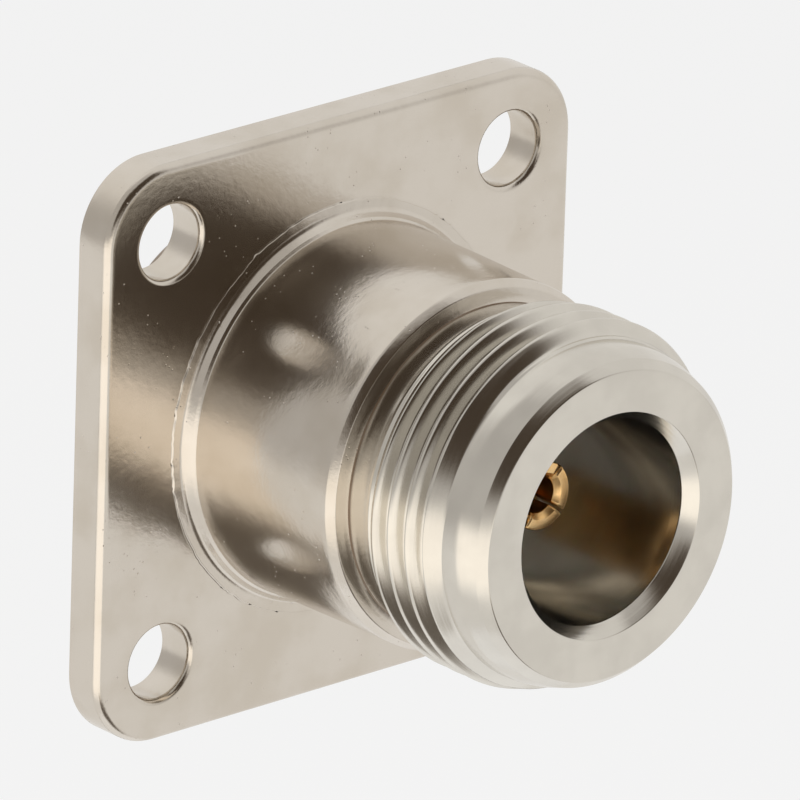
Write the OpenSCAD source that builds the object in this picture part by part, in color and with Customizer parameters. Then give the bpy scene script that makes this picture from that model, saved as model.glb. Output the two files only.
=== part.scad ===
// Panel receptacle for coaxial cable, female, on a square four-hole flange.
// Origin: centre of the flange's rear (mounting) face. The nose points to -Y, +Z is up.
// Each piece is drawn standing on the mounting face, nose up, and is then laid over.

/* [Flange] */
// Side of the square flange
flange_side = 25.0; // [23.4:0.1:30]
// Thickness of the flange
flange_thick = 1.8; // [1.2:0.1:4]
// Radius of the flange's four corners
flange_corner = 3.2; // [1.5:0.1:4]
// Rounding of the flange's front edges
flange_edge = 0.32; // [0.1:0.02:0.5]
// Distance between neighbouring screw holes
hole_spacing = 18.24; // [17.5:0.01:18.6]
// Diameter of the screw holes
hole_d = 3.2; // [2.6:0.1:3.4]
// Rounding of each screw hole's front edge
hole_edge = 0.25; // [0.05:0.05:0.4]

/* [Boss and neck] */
// Diameter of the boss at its front shoulder
boss_d = 15.8; // [15.5:0.05:16.2]
// Amount by which draft widens the boss at its root, on the diameter
boss_draft = 0.28; // [0.1:0.02:0.3]
// Height of the boss's front shoulder above the mounting face
boss_top = 10.6; // [9:0.1:11]
// Diameter of the raised ring at the boss's root
root_ring_d = 16.56; // [16.5:0.02:17]
// Height of the root ring above the flange
root_ring_rise = 0.82; // [0.7:0.02:1.2]
// Radius of the fillet between the root ring and the flange
root_fillet = 0.9; // [0.3:0.05:1]
// Diameter of the neck where it leaves the boss
neck_d = 14.0; // [13:0.1:14.4]
// Diameter of the neck where the thread starts to rise
neck_front_d = 14.6; // [14.4:0.1:15]

/* [Thread and nose] */
// Diameter over the thread's crests
thread_d = 15.8; // [15.2:0.05:16]
// Height at which the crests are full
thread_start = 13.25; // [12.8:0.05:14]
// Height of the last full crest
thread_end = 15.85; // [15:0.05:16.2]
// Diameter of the plain pilot in front of the thread
pilot_d = 14.4; // [13.9:0.1:15]
// Height of the nose face above the mounting face
nose_top = 18.6; // [18.4:0.1:20]
// Outside diameter of the flat ring on the nose
nose_face_d = 13.15; // [12:0.05:13.2]

/* [Bore] */
// Diameter of the bore that takes the mating shell
mating_bore_d = 8.7; // [8.4:0.05:9]
// Depth of the reference shoulder behind the nose face
shoulder_depth = 9.1; // [8.8:0.05:9.4]
// Diameter of the bevel at the mouth
mouth_d = 9.62; // [9.4:0.02:10.4]
// Depth of the bevel at the mouth
mouth_depth = 0.6; // [0.3:0.05:1]
// Diameter through the lip behind the reference shoulder
lip_d = 7.0; // [6:0.1:7.6]
// Length of the lip
lip_len = 1.4; // [0.8:0.1:2]
// Diameter of the rear bore that holds the insulators
stack_bore_d = 10.2; // [9.6:0.1:10.8]

/* [Rear boss] */
// Diameter of the boss behind the flange
rear_boss_d = 12.7; // [12.2:0.1:14]
// Length of the boss behind the flange
rear_boss_len = 5.5; // [5:0.1:8]
// Rounding of the rear boss's outer edge
rear_edge = 0.25; // [0.1:0.05:0.5]

/* [Centre contact] */
// Outside diameter of the socket
socket_d = 3.04; // [2.9:0.02:3.2]
// Diameter of the socket's bore
socket_bore_d = 1.66; // [1.5:0.02:1.8]
// Depth of the socket's bore
socket_bore_len = 5.6; // [5:0.1:7]
// Depth of the socket's mouth behind the nose face
socket_setback = 4.1; // [3.8:0.05:4.4]
// Diameter of the lead-in at the socket's mouth
socket_lead_d = 2.12; // [2:0.02:2.4]
// Width of the two crossed saw cuts
slot_width = 0.25; // [0.15:0.05:0.5]
// Length of the saw cuts
slot_len = 5.0; // [3:0.1:5]
// Turn of the saw cuts about the axis
slot_turn = 50; // [0:1:90]
// Diameter of the collar between the insulators
collar_d = 4.4; // [3.8:0.1:5.5]
// Thickness of the collar
collar_thick = 0.8; // [0.5:0.1:1.2]
// Diameter of the rear shank and solder cup
shank_d = 2.5; // [2.4:0.05:2.9]
// Diameter of the solder cup's bore
cup_bore_d = 1.9; // [1.5:0.05:1.9]
// Depth of the solder cup's bore
cup_bore_len = 3.4; // [2.5:0.1:4]
// Length of the scoop cut into the solder cup
scoop_len = 1.3; // [0.8:0.1:2]
// Length of the contact behind the mounting face
cup_reach = 10.4; // [9.5:0.1:12]

/* [Insulators and bush] */
// Length of the front insulator
front_bead_len = 4.4; // [3.5:0.1:4.8]
// Diameter of the rear insulator's spigot
spigot_d = 7.2; // [5:0.1:8]
// Distance that the spigot stands out of the rear boss
spigot_proud = 0.3; // [0.2:0.1:1]
// Length of the retaining bush
bush_len = 2.0; // [1.5:0.1:2.5]
// Distance from the bush to the end of the rear boss
bush_recess = 0.1; // [0:0.1:0.5]
// Clearance round each piece that slides into another, on the radius
slide_gap = 0.02; // [0.01:0.01:0.04]

/* [Hidden] */
$fn = 96;
over = 0.5;
arc_steps = 5;
curve_steps = 12;
shell_sides = 192;

// radii
boss_r = boss_d / 2;
root_ring_r = root_ring_d / 2;
neck_r = neck_d / 2;
neck_front_r = neck_front_d / 2;
thread_r = thread_d / 2;
pilot_r = pilot_d / 2;
nose_face_r = nose_face_d / 2;
mating_bore_r = mating_bore_d / 2;
mouth_r = mouth_d / 2;
lip_r = lip_d / 2;
stack_bore_r = stack_bore_d / 2;
bead_r = stack_bore_r - slide_gap;
rear_boss_r = rear_boss_d / 2;
spigot_r = spigot_d / 2;
bush_bore_r = spigot_r + 2 * slide_gap;
socket_r = socket_d / 2;
socket_bore_r = socket_bore_d / 2;
socket_lead_r = socket_lead_d / 2;
collar_r = collar_d / 2;
shank_r = shank_d / 2;
cup_bore_r = cup_bore_d / 2;

// heights above the mounting face
shoulder_h = nose_top - shoulder_depth;
lip_rear_h = shoulder_h - lip_len;
collar_front_h = lip_rear_h - front_bead_len;
collar_rear_h = collar_front_h - collar_thick;
bush_rear_h = bush_recess - rear_boss_len;
bush_front_h = bush_rear_h + bush_len;
spigot_rear_h = -rear_boss_len - spigot_proud;
socket_h = nose_top - socket_setback;
socket_floor_h = socket_h - socket_bore_len;
cup_floor_h = cup_bore_len - cup_reach;
neck_front_h = 12.3;
thread_foot_h = 11.9;

// bevels and slopes, each [across, along the axis]
root_slope = [0.5, 0.66];
ring_crown = [0.1, 0.16];
shoulder_bevel = [0.26, 0.3];
shoulder_dish = 0.08;
thread_chamfer_len = 0.65;
pilot_swell = 0.04;
pilot_len = 0.8;
nose_bevel = [0.35, 0.4];
socket_lead_len = 0.24;
drill_angle = 118;

// roundings of edges
bead_edge = 0.12;
bush_edge = 0.15;
contact_edge = 0.08;
mouth_edge = 0.15;
nose_edge = 0.1;
pilot_round = 2.0;
shoulder_edge = 0.2;
scoop_round = 0.5;

function unit(v) = v / norm(v);

// an even rise from 0 to 1 while value goes from low to high
function rise(low, high, value) =
    let (t = min(1, max(0, (value - low) / (high - low))))
    t * t * (3 - 2 * t);

// the points that round one corner, given as [x, y, rounding], between its neighbours
function corner_arc(before, corner, after) =
    let (
        here = [corner.x, corner.y],
        back = unit([before.x, before.y] - here),
        ahead = unit([after.x, after.y] - here),
        half = acos(back * ahead) / 2,
        centre = here + unit(back + ahead) * corner.z / sin(half),
        start = here + back * corner.z / tan(half) - centre,
        from = atan2(start.y, start.x),
        sweep = sign(cross(start, ahead - back)) * (180 - 2 * half)
    )
    [
        for (i = [0:arc_steps])
            let (turn = from + sweep * i / arc_steps)
            centre + corner.z * [cos(turn), sin(turn)]
    ];

// an outline through corners, each given as [x, y, rounding]
function rounded(corners) =
    let (count = len(corners))
    [
        for (i = [0:count - 1])
            let (corner = corners[i])
            each corner.z == 0
                ? [[corner.x, corner.y]]
                : corner_arc(corners[(i + count - 1) % count], corner, corners[(i + 1) % count])
    ];

// lays a piece that stands on the mounting face over, so that its nose points to -Y
module lay_over() {
    rotate([90, 0, 0]) children();
}

// a piece turned about the axis, through corners [radius, height, rounding]
module turned(corners) {
    rotate_extrude() polygon(rounded(corners));
}

// a bar across the flange with its front edges rounded along its length
module flange_bar() {
    half = flange_side / 2;
    run = flange_side - 2 * flange_corner;
    translate([0, run / 2, 0])
        rotate([90, 0, 0])
            linear_extrude(run)
                polygon(rounded([
                    [-half, 0, 0],
                    [half, 0, 0],
                    [half, flange_thick, flange_edge],
                    [-half, flange_thick, flange_edge]
                ]));
}

// a round corner of the flange, with the same rounding on its front edge
module flange_post() {
    turned([
        [0, 0, 0],
        [flange_corner, 0, 0],
        [flange_corner, flange_thick, flange_edge],
        [0, flange_thick, 0]
    ]);
}

// places its children at the corners of a square
module at_corners(pitch) {
    for (x = [-1, 1], y = [-1, 1])
        translate([x * pitch / 2, y * pitch / 2, 0]) children();
}

// the drill and countersink of one screw hole
module screw_hole() {
    hole_r = hole_d / 2;
    flare_r = hole_r + 2 * hole_edge;
    turned([
        [0, -over, 0],
        [hole_r, -over, 0],
        [hole_r, flange_thick, hole_edge],
        [flare_r, flange_thick, 0],
        [flare_r, flange_thick + over, 0],
        [0, flange_thick + over, 0]
    ]);
}

module flange() {
    difference() {
        union() {
            flange_bar();
            rotate([0, 0, 90]) flange_bar();
            at_corners(flange_side - 2 * flange_corner) flange_post();
        }
        at_corners(hole_spacing) screw_hole();
    }
}

// the neck's radius at a height, from the boss's shoulder up to the thread's full crests
function neck_radius(h) =
    let (neck = neck_r + (neck_front_r - neck_r) * rise(boss_top, neck_front_h, h))
    neck + (thread_r - neck) * rise(thread_foot_h, thread_start, h);

// the turned and cast outside, from the rear boss up to the nose face
module turned_outside() {
    ring_top_h = flange_thick + root_ring_rise;
    root_r = root_ring_r + root_slope.x;
    boss_root_r = boss_r + boss_draft / 2;
    pilot_h = thread_end + thread_chamfer_len;
    neck_step = (thread_start - boss_top) / curve_steps;
    rotate_extrude($fn = shell_sides)
        polygon(rounded([
            [0, -rear_boss_len, 0],
            [rear_boss_r, -rear_boss_len, rear_edge],
            [rear_boss_r, flange_thick / 2, 0],
            [root_r + root_fillet, flange_thick / 2, 0],
            [root_r + root_fillet, flange_thick, 0],
            [root_r, flange_thick, root_fillet],
            [root_ring_r, ring_top_h - ring_crown.y, ring_crown.y],
            [root_ring_r - ring_crown.x, ring_top_h, ring_crown.x / 2],
            [boss_root_r, ring_top_h + ring_crown.x / 2, 0],
            [boss_r, boss_top - shoulder_dish - shoulder_bevel.y, shoulder_edge],
            [boss_r - shoulder_bevel.x, boss_top - shoulder_dish, shoulder_edge / 2],
            for (i = [0:curve_steps])
                let (h = boss_top + neck_step * i)
                [neck_radius(h), h, 0],
            [thread_r, thread_end, 0],
            [pilot_r + pilot_swell, pilot_h, 0],
            [pilot_r, pilot_h + pilot_len, pilot_round],
            [nose_face_r + nose_bevel.x, nose_top - nose_bevel.y, nose_edge],
            [nose_face_r, nose_top, nose_edge],
            [0, nose_top, 0]
        ]));
}

// the stepped hole through the body
module stepped_bore() {
    turned([
        [0, -rear_boss_len - over, 0],
        [stack_bore_r, -rear_boss_len - over, 0],
        [stack_bore_r, lip_rear_h, 0],
        [lip_r, lip_rear_h, 0],
        [lip_r, shoulder_h, 0],
        [mating_bore_r, shoulder_h, 0],
        [mating_bore_r, nose_top - mouth_depth, mouth_edge],
        [mouth_r, nose_top, 0],
        [mouth_r, nose_top + over, 0],
        [0, nose_top + over, 0]
    ]);
}

// flange, boss, neck, barrel, nose and rear boss in one piece; the thread's crests are its barrel
module shell() {
    color([0.78, 0.76, 0.72])
        lay_over()
            difference() {
                union() {
                    flange();
                    turned_outside();
                }
                stepped_bore();
            }
}

// the bead between the body's lip and the contact's collar
module front_insulator() {
    color([0.95, 0.95, 0.93])
        lay_over()
            turned([
                [socket_r + slide_gap, collar_front_h, bead_edge / 2],
                [bead_r, collar_front_h, bead_edge],
                [bead_r, lip_rear_h, bead_edge],
                [socket_r + slide_gap, lip_rear_h, bead_edge / 2]
            ]);
}

// the bead behind the collar, recessed for it, with a spigot that passes through the bush
module rear_insulator() {
    color([0.95, 0.95, 0.93])
        lay_over()
            turned([
                [shank_r + slide_gap, spigot_rear_h, bead_edge / 2],
                [spigot_r, spigot_rear_h, bead_edge],
                [spigot_r, bush_front_h, 0],
                [bead_r, bush_front_h, bead_edge],
                [bead_r, collar_front_h, bead_edge],
                [collar_r + slide_gap, collar_front_h, bead_edge / 2],
                [collar_r + slide_gap, collar_rear_h, 0],
                [shank_r + slide_gap, collar_rear_h, 0]
            ]);
}

// the ring that is pressed into the rear boss and holds the stack in
module retaining_bush() {
    color([0.75, 0.73, 0.69])
        lay_over()
            turned([
                [bush_bore_r, bush_rear_h, bush_edge],
                [stack_bore_r, bush_rear_h, bush_edge],
                [stack_bore_r, bush_front_h, bush_edge],
                [bush_bore_r, bush_front_h, bush_edge / 2]
            ]);
}

// depth of the point that a drill leaves below a hole
function drill_point(r) = r / tan(drill_angle / 2);

// the contact turned and drilled from both ends, before sawing
module contact_blank() {
    turned([
        [0, cup_floor_h + drill_point(cup_bore_r), 0],
        [cup_bore_r, cup_floor_h, 0],
        [cup_bore_r, -cup_reach, contact_edge / 2],
        [shank_r, -cup_reach, contact_edge],
        [shank_r, collar_rear_h, 0],
        [collar_r, collar_rear_h, contact_edge],
        [collar_r, collar_front_h, contact_edge],
        [socket_r, collar_front_h, 0],
        [socket_r, socket_h, contact_edge],
        [socket_lead_r, socket_h, 0],
        [socket_bore_r, socket_h - socket_lead_len, contact_edge],
        [socket_bore_r, socket_floor_h, 0],
        [0, socket_floor_h - drill_point(socket_bore_r), 0]
    ]);
}

// the two crossed cuts that leave four spring tines
module saw_cuts() {
    for (turn = [slot_turn, slot_turn + 90])
        rotate([0, 0, turn])
            translate([-socket_d, -slot_width / 2, socket_h - slot_len])
                cube([2 * socket_d, slot_width, slot_len + over]);
}

// cuts the upper half of the solder cup's end away, with a round end to the cut
module scoop() {
    end_h = scoop_len - cup_reach;
    rotate([90, 0, 90])
        translate([0, 0, -shank_d])
            linear_extrude(2 * shank_d)
                polygon(rounded([
                    [0, -cup_reach - over, 0],
                    [0, end_h, scoop_round],
                    [shank_d, end_h, 0],
                    [shank_d, -cup_reach - over, 0]
                ]));
}

module centre_contact() {
    color([0.85, 0.66, 0.32])
        lay_over()
            difference() {
                contact_blank();
                saw_cuts();
                scoop();
            }
}

shell();
front_insulator();
centre_contact();
rear_insulator();
retaining_bush();
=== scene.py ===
import math

import bmesh
import bpy
from mathutils import Matrix, Vector, geometry, noise


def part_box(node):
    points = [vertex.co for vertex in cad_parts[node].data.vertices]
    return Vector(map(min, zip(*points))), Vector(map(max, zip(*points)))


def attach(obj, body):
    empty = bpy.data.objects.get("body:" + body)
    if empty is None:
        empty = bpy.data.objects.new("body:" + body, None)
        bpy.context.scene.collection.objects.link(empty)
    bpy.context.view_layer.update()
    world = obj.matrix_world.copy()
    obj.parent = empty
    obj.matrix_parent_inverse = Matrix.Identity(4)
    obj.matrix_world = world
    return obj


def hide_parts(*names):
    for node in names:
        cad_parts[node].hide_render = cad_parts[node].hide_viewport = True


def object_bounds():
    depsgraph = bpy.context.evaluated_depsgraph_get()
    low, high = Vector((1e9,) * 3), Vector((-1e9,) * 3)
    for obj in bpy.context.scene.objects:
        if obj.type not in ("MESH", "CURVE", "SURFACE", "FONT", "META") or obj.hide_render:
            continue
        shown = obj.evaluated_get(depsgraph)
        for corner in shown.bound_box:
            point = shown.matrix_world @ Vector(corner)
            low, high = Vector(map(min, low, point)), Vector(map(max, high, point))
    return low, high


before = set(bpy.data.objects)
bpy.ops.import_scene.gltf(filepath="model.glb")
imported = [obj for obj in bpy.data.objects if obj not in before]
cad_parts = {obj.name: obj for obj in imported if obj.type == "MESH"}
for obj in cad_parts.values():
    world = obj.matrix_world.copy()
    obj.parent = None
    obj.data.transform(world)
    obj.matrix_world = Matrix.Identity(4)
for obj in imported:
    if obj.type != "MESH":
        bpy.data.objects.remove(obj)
cad_low, cad_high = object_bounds()


# ---------------------------------------------------------------------------------------------
# Shell. One brass body: the flange and boss are cast, the neck, thread, nose and bores are turned
# in the same piece, and all of it is nickel plated. It bolts to a panel through the flange.
# ---------------------------------------------------------------------------------------------

MM = 0.001
TAU = 2 * math.pi

# Heights are measured from the mounting face towards the nose, in millimetres.
FLANGE_HALF = (cad_high.x - cad_low.x) / 2 / MM
FLANGE_THICK = 1.8
FLANGE_CORNER = 3.2
FLANGE_EDGE = 0.32
REAR_EDGE = 0.05
HOLE_PITCH = 18.24
HOLE_R = 1.6
HOLE_EDGE = 0.25
LEDGE_R = 8.82
LEDGE_TOP = 1.9
RING_R = 8.16
RING_TOP = 2.36
BOSS_DRAFT = 0.14
BOSS_R = 7.9
BOSS_TOP = 10.6
FOOT_FADE = (2.8, 4.0)
SHOULDER_FADE = (10.0, 9.5)
NECK_R = 7.0
NECK_FRONT_R = 7.3
NECK_FRONT_H = 12.3
THREAD_FOOT = 11.9
THREAD_R = 7.9
THREAD_ROOT_R = 7.3
THREAD_PITCH = 1.058
THREAD_PHASE = 12.65
THREAD_CLEAR = 11.6
THREAD_FULL = 13.25
THREAD_END = 15.85
PILOT_START = 16.5
PILOT_R = 7.24
PILOT_END = 17.3
PILOT_TAPER = 0.04
PILOT_ROUND = 2.0
NOSE_TOP = -cad_low.y / MM
NOSE_FACE_R = 6.58
NOSE_BEVEL = (0.4, 0.35)
MOUTH_BEVEL = 0.6
MOUTH_R = 4.81
BORE_R = 4.35
SHOULDER_H = 9.5
LIP_R = 3.5
LIP_REAR_H = 8.1
STACK_R = 5.1
REAR_R = 6.35
REAR_END = -5.5
SIDES = 288


def place(radius, turn, height):
    """A point round the connector's axis, in the row frame and in metres."""
    return Vector((radius * math.cos(turn), -height, radius * math.sin(turn))) * MM


def smooth(low, high, value):
    """0 below low, 1 above high, and an even rise between them."""
    t = min(1.0, max(0.0, (value - low) / (high - low)))
    return t * t * (3 - 2 * t)


def lerp(a, b, t):
    return a + (b - a) * t


def softer_min(a, b, width):
    """The smaller of two numbers, rounded over where they are within width of each other."""
    gap = max(width - abs(a - b), 0.0) / width
    return min(a, b) - gap * gap * width / 4


def rounded(corners, step=0.3, arc_steps=5, plain=False):
    """A turned outline through (height, radius, corner rounding) points, as (height, radius) pairs.

    Straight stretches are cut at every step or, where plain, only one step in from their ends.
    """
    points = []
    for i, (height, radius, rounding) in enumerate(corners):
        here = Vector((height, radius))
        if rounding == 0 or i in (0, len(corners) - 1):
            points.append(here)
            continue
        before = (Vector(corners[i - 1][:2]) - here).normalized()
        after = (Vector(corners[i + 1][:2]) - here).normalized()
        half = before.angle(after) / 2
        reach = rounding / math.tan(half)
        centre = here + (before + after).normalized() * (rounding / math.sin(half))
        first = here + before * reach - centre
        sweep = math.pi - 2 * half
        side = math.copysign(1, first.cross(after - before))
        for k in range(arc_steps + 1):
            turn = side * sweep * k / arc_steps
            spin = Matrix.Rotation(turn, 2)
            points.append(centre + spin @ first)
    fine = [points[0]]
    for a, b in zip(points, points[1:]):
        parts = max(1, math.ceil((b - a).length / step))
        cuts = [k for k in range(1, parts + 1) if not plain or k in (1, parts - 1, parts)]
        fine += [a.lerp(b, k / parts) for k in cuts]
    return [(p.x, p.y) for p in fine]


def thread_radius(height, turn):
    """The 60 degree right-hand thread's radius, without the turned outline that trims its ends."""
    crest_half = 0.07
    flank = (THREAD_R - THREAD_ROOT_R) * math.tan(math.radians(30))
    winding = (height - THREAD_PHASE) / THREAD_PITCH - (turn - TAU / 4) / TAU
    away = abs(winding - round(winding)) * THREAD_PITCH
    slope = (away - crest_half) / flank
    cut = -softer_min(-softer_min(slope, 1.0, 0.25), 0.0, 0.2)
    return THREAD_R - (THREAD_R - THREAD_ROOT_R) * min(1.0, max(0.0, cut))


def barrel_radius(height):
    """The outline that the neck, the thread's crests and the chamfer ahead of it share."""
    neck = lerp(NECK_R, NECK_FRONT_R, smooth(BOSS_TOP, NECK_FRONT_H, height))
    crest = lerp(neck, THREAD_R, smooth(THREAD_FOOT, THREAD_FULL, height))
    front = lerp(THREAD_R, PILOT_R, (height - THREAD_END) / (PILOT_START - THREAD_END))
    return softer_min(crest, max(front, PILOT_R), 0.06)


class Shape:
    """Points, faces and finishes collected for one mesh."""

    def __init__(self):
        self.points = []
        self.faces = []
        self.finishes = []

    def add_face(self, corners, finish=0):
        self.faces.append(corners)
        self.finishes.append(finish)

    def add_rows(self, rows, finish=0, closed=True):
        """Joins rows of points, each with as many points as the next, with four-sided faces."""
        first = len(self.points)
        width = len(rows[0])
        for row in rows:
            self.points += row
        for i in range(len(rows) - 1):
            for j in range(width if closed else width - 1):
                a = first + i * width + j
                b = first + i * width + (j + 1) % width
                self.add_face([a, b, b + width, a + width], finish)

    def add_turned(self, outline, finish=0, sides=SIDES, radius_at=None):
        """Turns an outline of (height, radius) pairs about the axis."""
        rows = []
        for height, radius in outline:
            row = []
            for j in range(sides):
                turn = TAU * j / sides
                r = radius_at(height, radius, turn) if radius_at else radius
                row.append(place(r, turn, height))
            rows.append(row)
        self.add_rows(rows, finish)

    def make(self, name, materials, replaced):
        """Makes the mesh, welds its seams, and hangs it on the body in place of a CAD node."""
        mesh = bpy.data.meshes.new(name)
        mesh.from_pydata(self.points, [], self.faces)
        for polygon, finish in zip(mesh.polygons, self.finishes):
            polygon.material_index = finish
        work = bmesh.new()
        work.from_mesh(mesh)
        bmesh.ops.remove_doubles(work, verts=work.verts, dist=1e-7)
        bmesh.ops.recalc_face_normals(work, faces=work.faces)
        for face in work.faces:
            face.smooth = True
        work.to_mesh(mesh)
        work.free()
        for material in materials:
            mesh.materials.append(material)
        piece = bpy.data.objects.new(name, mesh)
        bpy.context.scene.collection.objects.link(piece)
        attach(piece, "root")
        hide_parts(replaced)
        return piece


def flange_outline(inset, corner_steps=18):
    """The flange's rounded square, moved in by inset, as points in millimetres."""
    centre = FLANGE_HALF - FLANGE_CORNER
    radius = FLANGE_CORNER - inset
    line = []
    for quarter in range(4):
        turn = quarter * TAU / 4
        cx = centre * (1 if quarter in (0, 3) else -1)
        cy = centre * (1 if quarter in (0, 1) else -1)
        for k in range(corner_steps + 1):
            a = turn + TAU / 4 * k / corner_steps
            line.append(Vector((cx + radius * math.cos(a), cy + radius * math.sin(a))))
        next_turn = turn + TAU / 4
        run = Vector((math.cos(next_turn), math.sin(next_turn))) * radius
        nx = centre * (1 if (quarter + 1) % 4 in (0, 3) else -1)
        ny = centre * (1 if (quarter + 1) % 4 in (0, 1) else -1)
        end = Vector((nx, ny)) + run
        start = line[-1]
        parts = 40
        line += [start.lerp(end, k / parts) for k in range(1, parts)]
    return line


def circle(centre, radius, sides):
    middle = Vector(centre)
    turns = [TAU * k / sides for k in range(sides)]
    return [middle + Vector((math.cos(t), math.sin(t))) * radius for t in turns]


def edge_drop(inset, rounding):
    """How far a rounded edge falls below its face, at a distance in from the edge."""
    if inset >= rounding:
        return 0.0
    return rounding - math.sqrt(rounding * rounding - (rounding - inset) ** 2)


def edge_insets(rounding, steps=6):
    """Distances in from an edge that follow its rounding, and one more on the flat."""
    return [rounding * (1 - math.cos(TAU / 4 * k / steps)) for k in range(steps + 1)] + [rounding * 1.3]


HOLE_CENTRES = [(x * HOLE_PITCH / 2, y * HOLE_PITCH / 2) for x in (-1, 1) for y in (-1, 1)]


def cast_ripple(x, y, h):
    """Slight unevenness of the cast and polished faces, in millimetres and always inwards."""
    broad = noise.noise(Vector((x, y, h)) * 0.28)
    close = noise.noise(Vector((x + 40, y, h)) * 0.9)
    return 0.012 * (broad - 1) + 0.003 * (close - 1)


def ledge_edge(turn):
    """The cast ledge's uneven outer edge, as a radius."""
    spot = Vector((math.cos(turn), math.sin(turn), 0))
    lumps = max(0.0, noise.noise(spot * 30)) * 0.14
    return LEDGE_R + 0.05 * noise.noise(spot * 7) + lumps


def rear_boss_edge(turn):
    """The rear boss's edge in the mounting face, the same radius at every turn."""
    return REAR_R


def add_flange_face(shape, height, edge, hole_edge, inner_at, towards, ripple):
    """One broad face of the flange, its edges rounded, from the outline in to the boss."""
    loops = [(flange_outline(d), d, edge) for d in edge_insets(edge)]
    for centre in HOLE_CENTRES:
        loops += [(circle(centre, HOLE_R + d, 64), d, hole_edge) for d in edge_insets(hole_edge)]
    for d in (0, 0.06, 0.18):
        turns = [TAU * k / SIDES for k in range(SIDES)]
        line = [Vector((math.cos(t), math.sin(t))) * (inner_at(t) + d) for t in turns]
        loops.append((line, edge, edge))
    points, edges, drops = [], [], []
    for line, inset, rounding in loops:
        first = len(points)
        points += line
        drops += [edge_drop(inset, rounding)] * len(line)
        edges += [(first + k, first + (k + 1) % len(line)) for k in range(len(line))]
    gap = 0.42
    count = int(FLANGE_HALF / gap) + 1
    for i in range(-count, count + 1):
        for j in range(-count, count + 1):
            spot = Vector(((i + 0.5 * (j % 2)) * gap, j * gap * 0.87))
            if on_flat(spot, edge * 1.3 + gap / 2, hole_edge * 1.3 + gap / 2, inner_at, gap / 2):
                points.append(spot)
                drops.append(0.0)
    made = geometry.delaunay_2d_cdt(points, edges, [], 0, 1e-6)
    first = len(shape.points)
    for k, spot in enumerate(made[0]):
        drop = drops[made[3][k][0]]
        wave = cast_ripple(spot.x, spot.y, 0) * ripple * rim_fade(spot, inner_at(0))
        h = height + towards * (wave - drop)
        shape.points.append(Vector((spot.x, -h, spot.y)) * MM)
    for corners in made[2]:
        middle = sum((made[0][c] for c in corners), Vector((0, 0))) / 3
        if on_flat(middle, 0, 0, inner_at, -0.002):
            shape.add_face([first + c for c in corners], 0)


def on_flat(spot, edge, hole_edge, inner_at, inner_edge):
    """Whether a point lies on the flange's face, these distances clear of its edges."""
    ax, ay = abs(spot.x), abs(spot.y)
    limit = FLANGE_HALF - edge
    corner = FLANGE_HALF - FLANGE_CORNER
    if ax > limit or ay > limit or spot.length < inner_at(math.atan2(spot.y, spot.x)) + inner_edge:
        return False
    if ax > corner and ay > corner and math.hypot(ax - corner, ay - corner) > FLANGE_CORNER - edge:
        return False
    return math.hypot(ax - HOLE_PITCH / 2, ay - HOLE_PITCH / 2) > (HOLE_R + hole_edge) * 0.9985


def rim_fade(spot, inner_r):
    """Takes the casting's unevenness away where the face meets the boss."""
    return smooth(inner_r, inner_r + 1.5, spot.length)


def add_wall(shape, lines, rear_h, front_h, parts=5):
    """The wall between the flange's two faces along one closed outline."""
    rows = []
    for k in range(parts + 1):
        h = lerp(rear_h, front_h, k / parts)
        rows.append([Vector((p.x, -h, p.y)) * MM for p in lines])
    shape.add_rows(rows, 0)


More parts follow.
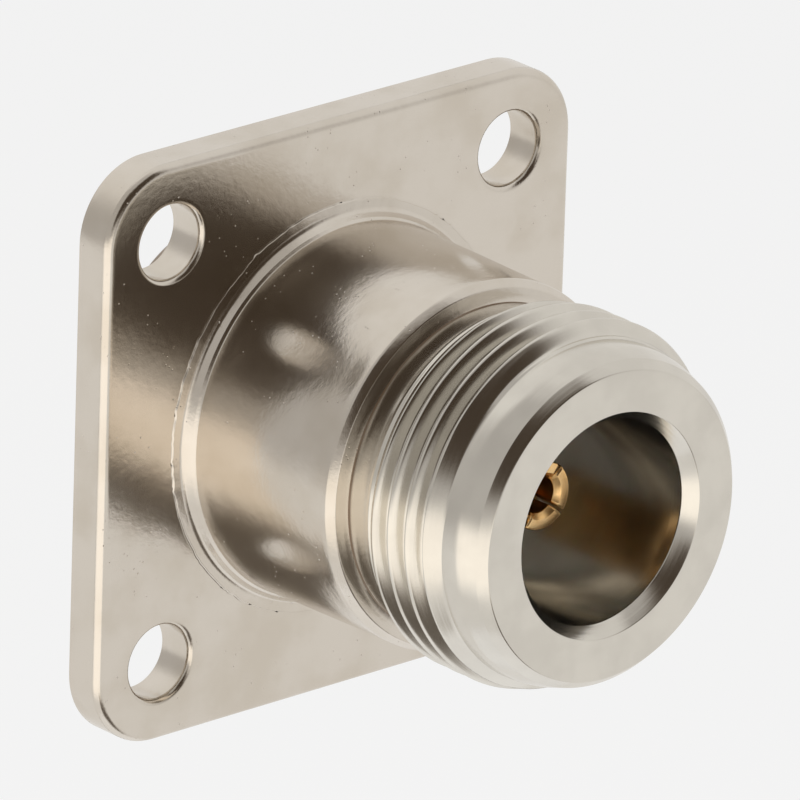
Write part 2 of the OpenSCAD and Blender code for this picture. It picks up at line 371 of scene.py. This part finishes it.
def make_shell(materials):
    shape = Shape()
    add_flange_face(shape, FLANGE_THICK, FLANGE_EDGE, HOLE_EDGE, ledge_edge, 1, 1)
    add_flange_face(shape, 0, REAR_EDGE, REAR_EDGE, rear_boss_edge, -1, 0)
    front_h = FLANGE_THICK - FLANGE_EDGE
    add_wall(shape, flange_outline(0), REAR_EDGE, front_h)
    for centre in HOLE_CENTRES:
        add_wall(shape, circle(centre, HOLE_R, 64), REAR_EDGE, FLANGE_THICK - HOLE_EDGE)

    def cast_radius(height, radius, turn):
        if height < LEDGE_TOP:
            return radius + (ledge_edge(turn) - LEDGE_R) * smooth(RING_R, LEDGE_R, radius)
        wave = cast_ripple(radius * math.cos(turn) * 2, radius * math.sin(turn) * 2, height)
        return radius + wave * smooth(*FOOT_FADE, height) * smooth(*SHOULDER_FADE, height)

    boss = rounded([
        (FLANGE_THICK, LEDGE_R, 0),
        (FLANGE_THICK + 0.06, LEDGE_R - 0.03, 0.03),
        (LEDGE_TOP, RING_R + 0.2, 0.3),
        (RING_TOP - 0.1, RING_R, 0.1),
        (RING_TOP, RING_R - 0.1, 0.04),
        (RING_TOP + 0.05, BOSS_R + BOSS_DRAFT, 0.03),
        (BOSS_TOP - 0.38, BOSS_R, 0.2),
        (BOSS_TOP - 0.08, BOSS_R - 0.26, 0.12),
        (BOSS_TOP, NECK_R + 0.03, 0),
    ])
    shape.add_turned(boss, 0, radius_at=cast_radius)

    fine = 0.045
    count = int((PILOT_START + 0.1 - BOSS_TOP) / fine)
    barrel = [(BOSS_TOP, NECK_R + 0.03)]
    barrel += [(BOSS_TOP + 0.02 + fine * k, NECK_R) for k in range(count)]

    def barrel_at(height, radius, turn):
        if height == BOSS_TOP:
            return radius
        outline = barrel_radius(height)
        if height < THREAD_CLEAR:
            return outline
        return max(softer_min(outline, thread_radius(height, turn), 0.05), min(outline, PILOT_R))

    shape.add_turned(barrel, 1, radius_at=barrel_at)
    last_h = barrel[-1][0]
    nose = rounded([
        (last_h, PILOT_R, 0),
        (PILOT_END, PILOT_R - PILOT_TAPER, PILOT_ROUND),
        (NOSE_TOP - NOSE_BEVEL[0], NOSE_FACE_R + NOSE_BEVEL[1], 0.08),
        (NOSE_TOP, NOSE_FACE_R, 0.1),
        (NOSE_TOP, MOUTH_R, 0.05),
        (NOSE_TOP - MOUTH_BEVEL, BORE_R, 0.15),
        (SHOULDER_H, BORE_R, 0.1),
        (SHOULDER_H, LIP_R, 0.1),
        (LIP_REAR_H, LIP_R, 0.05),
        (LIP_REAR_H, STACK_R, 0.05),
        (REAR_END, STACK_R, 0.1),
        (REAR_END, REAR_R, 0.25),
        (0, REAR_R, 0),
    ], step=0.5, plain=True)
    shape.add_turned(nose, 1)
    return shape.make("shell_body", materials, "shell")


class Wire:
    """A shader socket that can be reckoned with like a number, each step adding its Math node."""

    def __init__(self, tree, socket=None):
        self.tree = tree
        self.socket = socket

    def node(self, kind, settings=None, inputs=None, out=0):
        """Adds a node of any kind, its settings first and then its socket values or links."""
        made = self.tree.nodes.new(kind)
        for name, value in (settings or {}).items():
            setattr(made, name, value)
        for name, value in (inputs or {}).items():
            if isinstance(value, Wire):
                self.tree.links.new(value.socket, made.inputs[name])
            else:
                made.inputs[name].default_value = value
        return Wire(self.tree, made.outputs[out] if made.outputs else None)

    def math(self, operation, *values):
        return self.node("ShaderNodeMath", {"operation": operation}, dict(enumerate(values)))

    def __add__(self, other):
        return self.math("ADD", self, other)

    def __radd__(self, other):
        return self.math("ADD", other, self)

    def __sub__(self, other):
        return self.math("SUBTRACT", self, other)

    def __rsub__(self, other):
        return self.math("SUBTRACT", other, self)

    def __mul__(self, other):
        return self.math("MULTIPLY", self, other)

    def __rmul__(self, other):
        return self.math("MULTIPLY", other, self)

    def between(self, low, high):
        """0 at low and 1 at high, eased, and level beyond them."""
        return self.node(
            "ShaderNodeMapRange",
            {"interpolation_type": "SMOOTHSTEP"},
            {"Value": self, "From Min": low, "From Max": high},
        )

    def blend(self, first, second):
        """A colour mix, with this wire as its factor."""
        return self.node("ShaderNodeMix", {"data_type": "RGBA"}, {0: self, 6: first, 7: second}, out=2)


class Finish:
    """A material under way: its position wires in millimetres, and its shader."""

    def __init__(self, name):
        self.material = bpy.data.materials.new(name)
        self.material.use_nodes = True
        tree = self.material.node_tree
        tree.nodes.clear()
        self.start = Wire(tree)
        place_wire = self.start.node("ShaderNodeTexCoord", out=3)
        self.spot = self.start.node(
            "ShaderNodeVectorMath", {"operation": "SCALE"}, {0: place_wire, "Scale": 1 / MM}
        )
        split = self.start.node("ShaderNodeSeparateXYZ", inputs={0: self.spot})
        outputs = split.socket.node.outputs
        self.x, self.y, self.z = (Wire(tree, outputs[k]) for k in range(3))
        self.height = self.y * -1.0
        square = self.x * self.x + self.z * self.z
        self.radius = square.math("SQRT", square)

    def noise(self, scale, detail=2.0, where=None, roughness=0.5):
        """Noise from 0 to 1, with about scale grains to the millimetre."""
        inputs = {"Vector": where or self.spot, "Scale": scale, "Detail": detail, "Roughness": roughness}
        return self.start.node("ShaderNodeTexNoise", None, inputs)

    def rings(self, scale, detail=3.0):
        """Turning marks: noise that changes along the axis and the radius, and hardly round it."""
        where = self.start.node(
            "ShaderNodeCombineXYZ", None, {0: self.height, 1: self.radius, 2: self.x * 0.01}
        )
        return self.noise(scale, detail, where, 0.6)

    def bump(self, height, distance, below=None):
        """A bump of a given depth in millimetres, on top of another where one is given."""
        inputs = {"Height": height, "Distance": distance * MM, "Strength": 1.0}
        if below:
            inputs["Normal"] = below
        return self.start.node("ShaderNodeBump", None, inputs)

    def shade(self, constants, **wires):
        """Ends the material with a Principled shader."""
        inputs = {name.replace("_", " "): value for name, value in {**constants, **wires}.items()}
        shader = self.start.node("ShaderNodeBsdfPrincipled", None, inputs)
        self.start.node("ShaderNodeOutputMaterial", None, {0: shader})
        return self.material


def cast_nickel():
    """Bright nickel over a cast and tumbled surface: orange peel, small pits and a warm cast."""
    finish = Finish("cast_nickel")
    patches = finish.noise(0.35, 3)
    colour = patches.between(0.35, 0.7).blend((0.70, 0.65, 0.585, 1), (0.64, 0.585, 0.51, 1))
    peel = finish.noise(3.2, 3, roughness=0.6)
    grain = finish.noise(14, 2)
    pits = finish.start.node("ShaderNodeTexVoronoi", None, {"Vector": finish.spot, "Scale": 3.5})
    pitted = pits.between(0.16, 0.04) * finish.noise(0.8).between(0.5, 0.65)
    relief = finish.bump(peel, 0.006)
    relief = finish.bump(grain, 0.0012, relief)
    relief = finish.bump(1 - pitted, 0.01, relief)
    rough = 0.13 + grain * 0.06 + patches * 0.05 + pitted * 0.2
    return finish.shade({"Metallic": 1.0}, Base_Color=colour, Roughness=rough, Normal=relief)


def turned_nickel():
    """Bright nickel over a lathe-turned surface, with painted shade: a dark brown band in the corner
    behind the neck.
    """
    finish = Finish("turned_nickel")
    lines = finish.rings(9)
    patches = finish.noise(0.5, 3)
    clean = patches.between(0.3, 0.7).blend((0.72, 0.69, 0.63, 1), (0.66, 0.63, 0.575, 1))
    # Painted shade: the narrow corner behind the neck is darkened to brown and made rougher.
    corner = finish.height.between(BOSS_TOP + 0.22, BOSS_TOP + 0.02)
    outside = finish.radius.between(6.0, 6.5)
    painted_corner_shade = corner * outside * (0.6 + 0.4 * patches)
    colour = painted_corner_shade.blend(clean, (0.16, 0.085, 0.035, 1))
    relief = finish.bump(lines, 0.002)
    relief = finish.bump(finish.noise(12, 2), 0.0008, relief)
    rough = 0.14 + lines * 0.08 + painted_corner_shade * 0.3
    return finish.shade({"Metallic": 1.0}, Base_Color=colour, Roughness=rough, Normal=relief)


make_shell([cast_nickel(), turned_nickel()])


# ---------------------------------------------------------------------------------------------
# Front and rear insulators. Two turned PTFE beads that hold the contact on the axis; the rear one
# has a recess for the contact's collar and a spigot that reaches out through the bush.
# ---------------------------------------------------------------------------------------------

def node_heights(node):
    """A CAD node's rear and front heights above the mounting face, in millimetres."""
    low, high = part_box(node)
    return -high.y / MM, -low.y / MM


def make_turned_ring(name, corners, material, node, sides=128):
    """A ring with rounded edges, turned from a closed outline of (height, radius, rounding)."""
    shape = Shape()
    outline = rounded([(*corners[0][:2], 0), *corners[1:], (*corners[0][:2], 0)], step=0.6)
    shape.add_turned(outline, 0, sides)
    return shape.make(name, [material], node)


def ptfe():
    """Milky PTFE as it leaves the lathe: fine turning marks and a dull, waxy shine."""
    finish = Finish("ptfe")
    lines = finish.rings(7)
    clouds = finish.noise(0.6, 3)
    colour = clouds.between(0.3, 0.75).blend((0.86, 0.86, 0.83, 1), (0.78, 0.77, 0.73, 1))
    relief = finish.bump(lines, 0.006)
    constants = {"IOR": 1.37, "Subsurface Weight": 0.15, "Subsurface Scale": 0.001}
    return finish.shade(constants, Base_Color=colour, Roughness=0.38 + lines * 0.15, Normal=relief)


ptfe_finish = ptfe()
BEAD_EDGE = 0.12
CONTACT_GAP = 0.02
SOCKET_R = 1.52
SHANK_R = 1.25
COLLAR_R = 2.2
COLLAR_THICK = 0.8
SPIGOT_R = 3.6
BEAD_R = STACK_R - CONTACT_GAP

bead_rear_h, bead_front_h = node_heights("front_insulator")
make_turned_ring("front_bead", [
    (bead_rear_h, (BEAD_R + SOCKET_R) / 2, 0),
    (bead_rear_h, BEAD_R, BEAD_EDGE),
    (bead_front_h, BEAD_R, BEAD_EDGE),
    (bead_front_h, SOCKET_R + CONTACT_GAP, BEAD_EDGE / 2),
    (bead_rear_h, SOCKET_R + CONTACT_GAP, BEAD_EDGE / 2),
], ptfe_finish, "front_insulator")

spigot_h, stack_h = node_heights("rear_insulator")
bush_rear_h, bush_front_h = node_heights("retaining_bush")
collar_rear_h = stack_h - COLLAR_THICK
make_turned_ring("rear_bead", [
    (spigot_h, (SPIGOT_R + SHANK_R) / 2, 0),
    (spigot_h, SPIGOT_R, BEAD_EDGE),
    (bush_front_h, SPIGOT_R, 0.05),
    (bush_front_h, BEAD_R, BEAD_EDGE),
    (stack_h, BEAD_R, BEAD_EDGE),
    (stack_h, COLLAR_R + CONTACT_GAP, BEAD_EDGE / 2),
    (collar_rear_h, COLLAR_R + CONTACT_GAP, 0.04),
    (collar_rear_h, SHANK_R + CONTACT_GAP, 0.04),
    (spigot_h, SHANK_R + CONTACT_GAP, BEAD_EDGE / 2),
], ptfe_finish, "rear_insulator")


# ---------------------------------------------------------------------------------------------
# Retaining bush. A plain turned ring, nickel plated, pressed into the rear boss to hold the beads
# and the contact in.
# ---------------------------------------------------------------------------------------------

BUSH_EDGE = 0.15
BUSH_BORE_R = SPIGOT_R + 2 * CONTACT_GAP
make_turned_ring("pressed_bush", [
    (bush_rear_h, (STACK_R + BUSH_BORE_R) / 2, 0),
    (bush_rear_h, STACK_R, BUSH_EDGE),
    (bush_front_h, STACK_R, BUSH_EDGE),
    (bush_front_h, BUSH_BORE_R, BUSH_EDGE / 2),
    (bush_rear_h, BUSH_BORE_R, BUSH_EDGE),
], turned_nickel(), "retaining_bush")


# ---------------------------------------------------------------------------------------------
# Centre contact. Turned in one piece from beryllium copper and gold plated: a socket split by two
# crossed saw cuts into four tines that are set slightly inwards, a collar that is trapped between
# the beads, and a shank that ends in a scooped solder cup.
# ---------------------------------------------------------------------------------------------

cup_h, tip_h = node_heights("centre_contact")
SOCKET_BORE_R = 0.83
SOCKET_LEAD_R = 1.06
SOCKET_DEPTH = 5.6
SLOT_WIDTH = 0.25
SLOT_LEN = 5.0
SLOT_TURN = math.radians(50)
TINE_SET = 0.07
TINE_SPANS = 14
CUP_BORE_R = 0.95
CUP_DEPTH = 3.4
SCOOP_LEN = 1.3
DRILL_SLOPE = 1 / math.tan(math.radians(59))


def contact_points(height, radius, inwards):
    """One ring of the contact's points, four tines' worth, with the saw cuts' width left between."""
    half_slot = math.asin(SLOT_WIDTH / 2 / max(radius, SOCKET_BORE_R))
    ring = []
    for tine in range(4):
        start = SLOT_TURN + tine * TAU / 4
        middle = start + TAU / 8
        set_in = Vector((math.cos(middle), 0, math.sin(middle))) * -inwards * MM
        for k in range(TINE_SPANS + 1):
            turn = lerp(start + half_slot, start + TAU / 4 - half_slot, k / TINE_SPANS)
            ring.append(place(radius, turn, height) + set_in)
    return ring


def make_contact(material):
    slot_h = tip_h - SLOT_LEN
    outline = rounded([
        (cup_h + CUP_DEPTH + CUP_BORE_R * DRILL_SLOPE, 0, 0),
        (cup_h + CUP_DEPTH, CUP_BORE_R, 0.05),
        (cup_h, CUP_BORE_R, 0.06),
        (cup_h, SHANK_R, 0.08),
        (collar_rear_h, SHANK_R, 0.04),
        (collar_rear_h, COLLAR_R, 0.08),
        (collar_rear_h + COLLAR_THICK, COLLAR_R, 0.08),
        (collar_rear_h + COLLAR_THICK, SOCKET_R, 0.05),
        (slot_h, SOCKET_R, 0),
        (tip_h, SOCKET_R, 0.1),
        (tip_h, SOCKET_LEAD_R, 0.03),
        (tip_h - 0.24, SOCKET_BORE_R, 0.08),
        (slot_h, SOCKET_BORE_R, 0),
        (tip_h - SOCKET_DEPTH, SOCKET_BORE_R, 0.05),
        (tip_h - SOCKET_DEPTH - SOCKET_BORE_R * DRILL_SLOPE, 0, 0),
    ])
    shape = Shape()
    width = 4 * (TINE_SPANS + 1)
    split = [i for i, (height, _) in enumerate(outline) if height >= slot_h - 1e-6]
    for height, radius in outline:
        bend = max(0.0, (height - slot_h) / SLOT_LEN)
        shape.points += contact_points(height, radius, TINE_SET * bend * bend * (3 - bend) / 2)
    for i in range(len(outline) - 1):
        for j in range(width):
            in_slot = j % (TINE_SPANS + 1) == TINE_SPANS
            if in_slot and i in split and i + 1 in split:
                continue
            a, b = i * width + j, i * width + (j + 1) % width
            shape.add_face([a, b, b + width, a + width])
    for tine in range(4):
        last = tine * (TINE_SPANS + 1) + TINE_SPANS
        first = (last + 1) % width
        for edge in (first, last):
            shape.add_face([i * width + edge for i in split])
        top, bottom = split[0] * width, split[-1] * width
        shape.add_face([top + last, top + first, bottom + first, bottom + last])
    contact = shape.make("contact_body", [material], "centre_contact")
    scoop(contact)


def scoop(contact):
    """Cuts the upper half of the solder cup's end away, with a round end to the cut."""
    reach = 2 * SHANK_R
    end = cup_h + SCOOP_LEN
    bend = 0.5
    bend_steps = 6
    clear = 0.5
    side = [(cup_h - clear, 0), (end - bend, 0)]
    for k in range(1, bend_steps + 1):
        turn = TAU / 4 * k / bend_steps
        side.append((end - bend + bend * math.sin(turn), bend * (1 - math.cos(turn))))
    side += [(end, reach), (cup_h - clear, reach)]
    points = [Vector((x, -h, z)) * MM for x in (-reach, reach) for h, z in side]
    count = len(side)
    faces = [list(range(count)), list(range(2 * count - 1, count - 1, -1))]
    faces += [[k, k + count, (k + 1) % count + count, (k + 1) % count] for k in range(count)]
    mesh = bpy.data.meshes.new("scoop")
    mesh.from_pydata(points, [], faces)
    cutter = bpy.data.objects.new("scoop", mesh)
    bpy.context.scene.collection.objects.link(cutter)
    cut = contact.modifiers.new("scoop", "BOOLEAN")
    cut.operation = "DIFFERENCE"
    cut.solver = "EXACT"
    cut.object = cutter
    graph = bpy.context.evaluated_depsgraph_get()
    made = bpy.data.meshes.new_from_object(contact.evaluated_get(graph))
    contact.modifiers.clear()
    contact.data = made
    bpy.data.objects.remove(cutter)


def gold_plate():
    """Satin gold over turned metal: fine rings, slightly redder where it is thin."""
    finish = Finish("gold_plate")
    lines = finish.rings(12)
    thin = finish.noise(1.5, 3)
    colour = thin.between(0.35, 0.7).blend((0.95, 0.66, 0.33, 1), (0.88, 0.56, 0.25, 1))
    relief = finish.bump(lines, 0.002)
    rough = 0.16 + lines * 0.1 + thin * 0.05
    return finish.shade({"Metallic": 1.0}, Base_Color=colour, Roughness=rough, Normal=relief)


make_contact(gold_plate())


# ---------------------------------------------------------------------------------------------
# Studio: a pale floor below the connector, the light tent that its metal mirrors, two soft lamps
# and the camera. None of it is part of the object.
# ---------------------------------------------------------------------------------------------

FLOOR_DROP = 0.25

camera_data = bpy.data.cameras.new("camera")
camera = bpy.data.objects.new("camera", camera_data)
bpy.context.scene.collection.objects.link(camera)
bpy.context.scene.camera = camera
camera_azimuth = math.radians(-41.96)
camera_elevation = math.radians(21.11)
camera_roll = math.radians(1.82)
camera_distance = 0.706
camera_data.lens = 778.4
camera_data.sensor_width = 36
camera_data.clip_start = 0.05
camera_data.clip_end = 20
back = Vector((
    math.sin(camera_azimuth) * math.cos(camera_elevation),
    -math.cos(camera_azimuth) * math.cos(camera_elevation),
    math.sin(camera_elevation),
))
level = Vector((math.cos(camera_azimuth), math.sin(camera_azimuth), 0))
right = Matrix.Rotation(camera_roll, 3, back) @ level
up = back.cross(right)
aim = Vector((2.076, -3.391, 0.243)) * MM
facing = Matrix((right, up, back)).transposed().to_4x4()
camera.matrix_world = Matrix.Translation(aim + back * camera_distance) @ facing

scene = bpy.context.scene
scene.view_settings.view_transform = "Standard"


def soft_lamp(name, towards, distance, size, power, colour):
    """A square soft lamp that points at the connector."""
    data = bpy.data.lights.new(name, "AREA")
    data.shape = "SQUARE"
    data.size = size
    data.energy = power
    data.color = colour
    lamp = bpy.data.objects.new(name, data)
    scene.collection.objects.link(lamp)
    direction = Vector(towards).normalized()
    lamp.location = direction * distance
    lamp.rotation_mode = "QUATERNION"
    lamp.rotation_quaternion = direction.to_track_quat("Z", "Y")
    return lamp


for lamp in (
    soft_lamp("lamp_above", (0.4, -0.2, 1.0), 0.5, 0.35, 1.6, (1.0, 0.98, 0.95)),
    soft_lamp("lamp_low_left", (-0.7, -0.65, -0.3), 0.28, 0.2, 0.5, (1.0, 0.97, 0.92)),
):
    lamp.visible_camera = False
    lamp.visible_glossy = False


def seen_directly(start):
    """1 for rays from the camera, or by way of gloss or glass, and 0 for the light's own rays."""
    rays = start.node("ShaderNodeLightPath")
    names = ("Is Camera Ray", "Is Glossy Ray", "Is Transmission Ray")
    direct, gloss, through = (Wire(start.tree, rays.socket.node.outputs[n]) for n in names)
    return direct.math("MAXIMUM", direct, gloss.math("MAXIMUM", gloss, through))


world = bpy.data.worlds.new("studio")
world.use_nodes = True
scene.world = world
world.node_tree.nodes.clear()
sky = Wire(world.node_tree)
strength = 0.6 + seen_directly(sky) * 0.4
background = sky.node("ShaderNodeBackground", None, {"Color": (1, 1, 1, 1), "Strength": strength})
sky.node("ShaderNodeOutputWorld", None, {0: background})


def stage_piece(name, points, faces, wires_to_shader):
    """A mesh of the studio, with a material of its own."""
    mesh = bpy.data.meshes.new(name)
    mesh.from_pydata(points, [], faces)
    paint = bpy.data.materials.new(name)
    paint.use_nodes = True
    paint.node_tree.nodes.clear()
    start = Wire(paint.node_tree)
    start.node("ShaderNodeOutputMaterial", None, {0: wires_to_shader(start)})
    mesh.materials.append(paint)
    piece = bpy.data.objects.new(name, mesh)
    scene.collection.objects.link(piece)
    return piece


def floor_shader(start):
    lit = start.node("ShaderNodeBsdfDiffuse", None, {"Color": (0.92, 0.92, 0.92, 1)})
    white = start.node("ShaderNodeEmission", None, {"Color": (1, 1, 1, 1), "Strength": 1.0})
    return start.node("ShaderNodeMixShader", None, {0: seen_directly(start) * 0.7, 1: lit, 2: white})


floor_z = cad_low.z - FLOOR_DROP
floor_reach = 5.0
stage_piece(
    "floor",
    [(x * floor_reach, y * floor_reach, floor_z) for x, y in ((-1, -1), (1, -1), (1, 1), (-1, 1))],
    [(0, 1, 2, 3)],
    floor_shader,
)

# The light tent that the metal mirrors: cloth panels by azimuth from the nose and by elevation, in
# degrees, each with its soft edge, colour and strength. The opening in front is dark.
TENT_R = 0.3
TENT_CLOTH = ((1.0, 0.97, 0.93), 0.56)
TENT_PANELS = [
    ((38, 175, -12, 80), 12, (1.0, 0.98, 0.95), 0.84),
    ((-300, 300, -95, -10), 8, (1.0, 0.98, 0.95), 0.86),
    ((-300, -140, 25, 80), 14, (1.0, 0.98, 0.95), 0.9),
    ((140, 300, 25, 80), 14, (1.0, 0.98, 0.95), 0.9),
    ((-112, -12, -38, -3), 7, (1.0, 0.95, 0.88), 1.38),
    ((-54, 32, 12, 56), 7, (0.42, 0.31, 0.22), 0.16),
    ((-6, 26, 0, 30), 6, (0.42, 0.31, 0.22), 0.16),
    ((-36, 26, -57, -35), 6, (0.5, 0.42, 0.34), 0.25),
]


def inside(value, low, high, soft):
    """1 between low and high, fading to 0 over soft to either side of each."""
    return value.between(low - soft, low + soft) * value.between(high + soft, high - soft)


def tent_shader(start):
    place_wire = start.node("ShaderNodeTexCoord", out=3)
    unit = start.node("ShaderNodeVectorMath", {"operation": "NORMALIZE"}, {0: place_wire})
    split = start.node("ShaderNodeSeparateXYZ", None, {0: unit})
    x, y, z = (Wire(start.tree, split.socket.node.outputs[k]) for k in range(3))
    azimuth = x.math("ARCTAN2", x, y * -1.0) * math.degrees(1)
    elevation = z.math("ARCSINE", z) * math.degrees(1)
    colour, strength = (*TENT_CLOTH[0], 1), TENT_CLOTH[1]
    for (left, right_end, low, high), soft, tint, level in TENT_PANELS:
        mask = inside(azimuth, left, right_end, soft) * inside(elevation, low, high, soft)
        colour = mask.blend(colour, (*tint, 1))
        strength = strength + mask * (level - strength)
    return start.node("ShaderNodeEmission", None, {"Color": colour, "Strength": strength})


def ball(radius, rings, sides):
    """Points and faces of a ball round the connector."""
    points, faces = [], []
    for i in range(rings + 1):
        tilt = math.pi * (i / rings - 0.5)
        for j in range(sides):
            turn = TAU * j / sides
            flat = radius * math.cos(tilt)
            points.append((flat * math.cos(turn), flat * math.sin(turn), radius * math.sin(tilt)))
    for i in range(rings):
        for j in range(sides):
            a, b = i * sides + j, i * sides + (j + 1) % sides
            faces.append((a, b, b + sides, a + sides))
    return points, faces


tent = stage_piece("tent", *ball(TENT_R, 24, 48), tent_shader)
tent.visible_camera = False
tent.visible_diffuse = False
tent.visible_shadow = False
tent.visible_transmission = False
